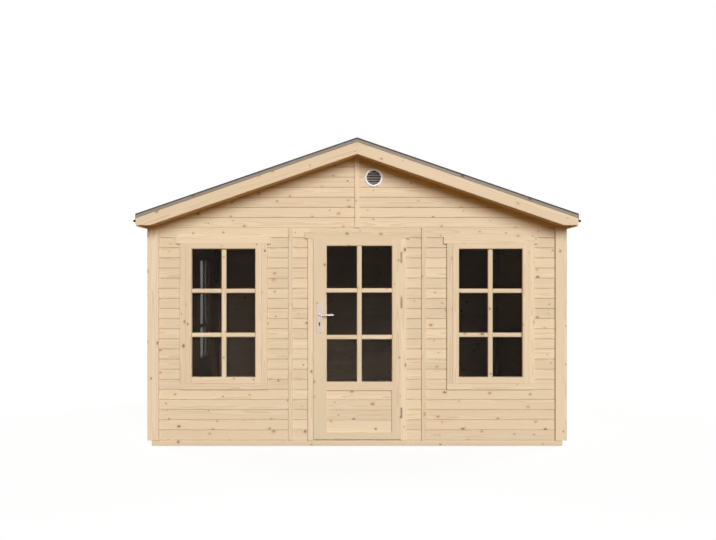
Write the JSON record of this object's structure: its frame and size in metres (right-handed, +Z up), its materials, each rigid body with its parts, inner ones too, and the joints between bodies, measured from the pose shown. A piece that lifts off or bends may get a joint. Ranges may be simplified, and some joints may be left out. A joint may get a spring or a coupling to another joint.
{
  "type": "timber summerhouse",
  "caption": "Timber summerhouse with boarded panel walls, a low gable roof with boxed verges, casement windows, a round gable vent and a glazed, hinged door with a lever handle.",
  "frame": {"origin": "middle of the plan, on the ground under the base beams", "axes": "+Z up, the front with the door faces -Y, +X is to the right of someone who looks at the front"},
  "size_m": [3.73, 3.406, 2.6192],
  "materials": {
    "wood": "planed untreated spruce with small knots",
    "inner_wood": "planed spruce seen indoors",
    "felt": "dark mineral roofing felt",
    "verge": "grey-brown stained strip",
    "glass": "clear window glass",
    "vent_white": "white moulded plastic",
    "vent_grey": "grey louvres",
    "hinge_steel": "dull zinc-plated steel",
    "handle_steel": "satin steel"
  },
  "bodies": {
    "house": {"base_beams_front_back": "wood", "base_beams_sides": "wood", "floor_joists": "inner_wood", "floor_boards": "inner_wood", "front_wall_left": "wood", "front_wall_right": "wood", "front_wall_beside_door": "wood", "front_wall_over_door": "wood", "left_wall": "wood", "right_wall": "wood", "back_wall": "wood", "front_gable": "wood", "back_gable": "wood", "corner_boards_front_back": "wood", "corner_boards_sides": "wood", "wall_posts": "inner_wood", "cover_strips": "wood", "roof_purlins": "inner_wood", "roof_boards": "inner_wood", "roof_felt": "felt", "ridge_cap": "felt", "bargeboards": "wood", "verge_strips": "verge", "verge_soffits": "wood", "eave_soffits": "wood", "fascias": "wood", "drip_edges": "felt", "door_jambs": "wood", "door_head": "wood", "threshold": "wood", "side_trims": "wood", "head_trims": "wood", "window_sill_trims": "wood", "window_stiles": "wood", "window_rails": "wood", "window_glass": "glass", "vent_ring": "vent_white", "vent_louvres": "vent_grey", "hinge_frame_parts": "hinge_steel"},
    "door": {"door_stiles": "wood", "door_rails": "wood", "door_panel": "wood", "door_glass": "glass", "hinge_door_parts": "hinge_steel", "handle_plates": "handle_steel"},
    "handle": {"door_lever": "handle_steel"}
  },
  "joints": [
    {"name": "door_hinge", "type": "hinge", "parent": "house", "child": "door", "pos_m": [0.3805, -1.5105, 1], "axis": [0, 0, 1], "range_deg": [0, 165]},
    {"name": "handle_turn", "type": "hinge", "parent": "door", "child": "handle", "pos_m": [-0.322, -1.5155, 1.127], "axis": [0, 1, 0], "range_deg": [0, 40], "stiffness_Nm_per_rad": 0.8}
  ]
}
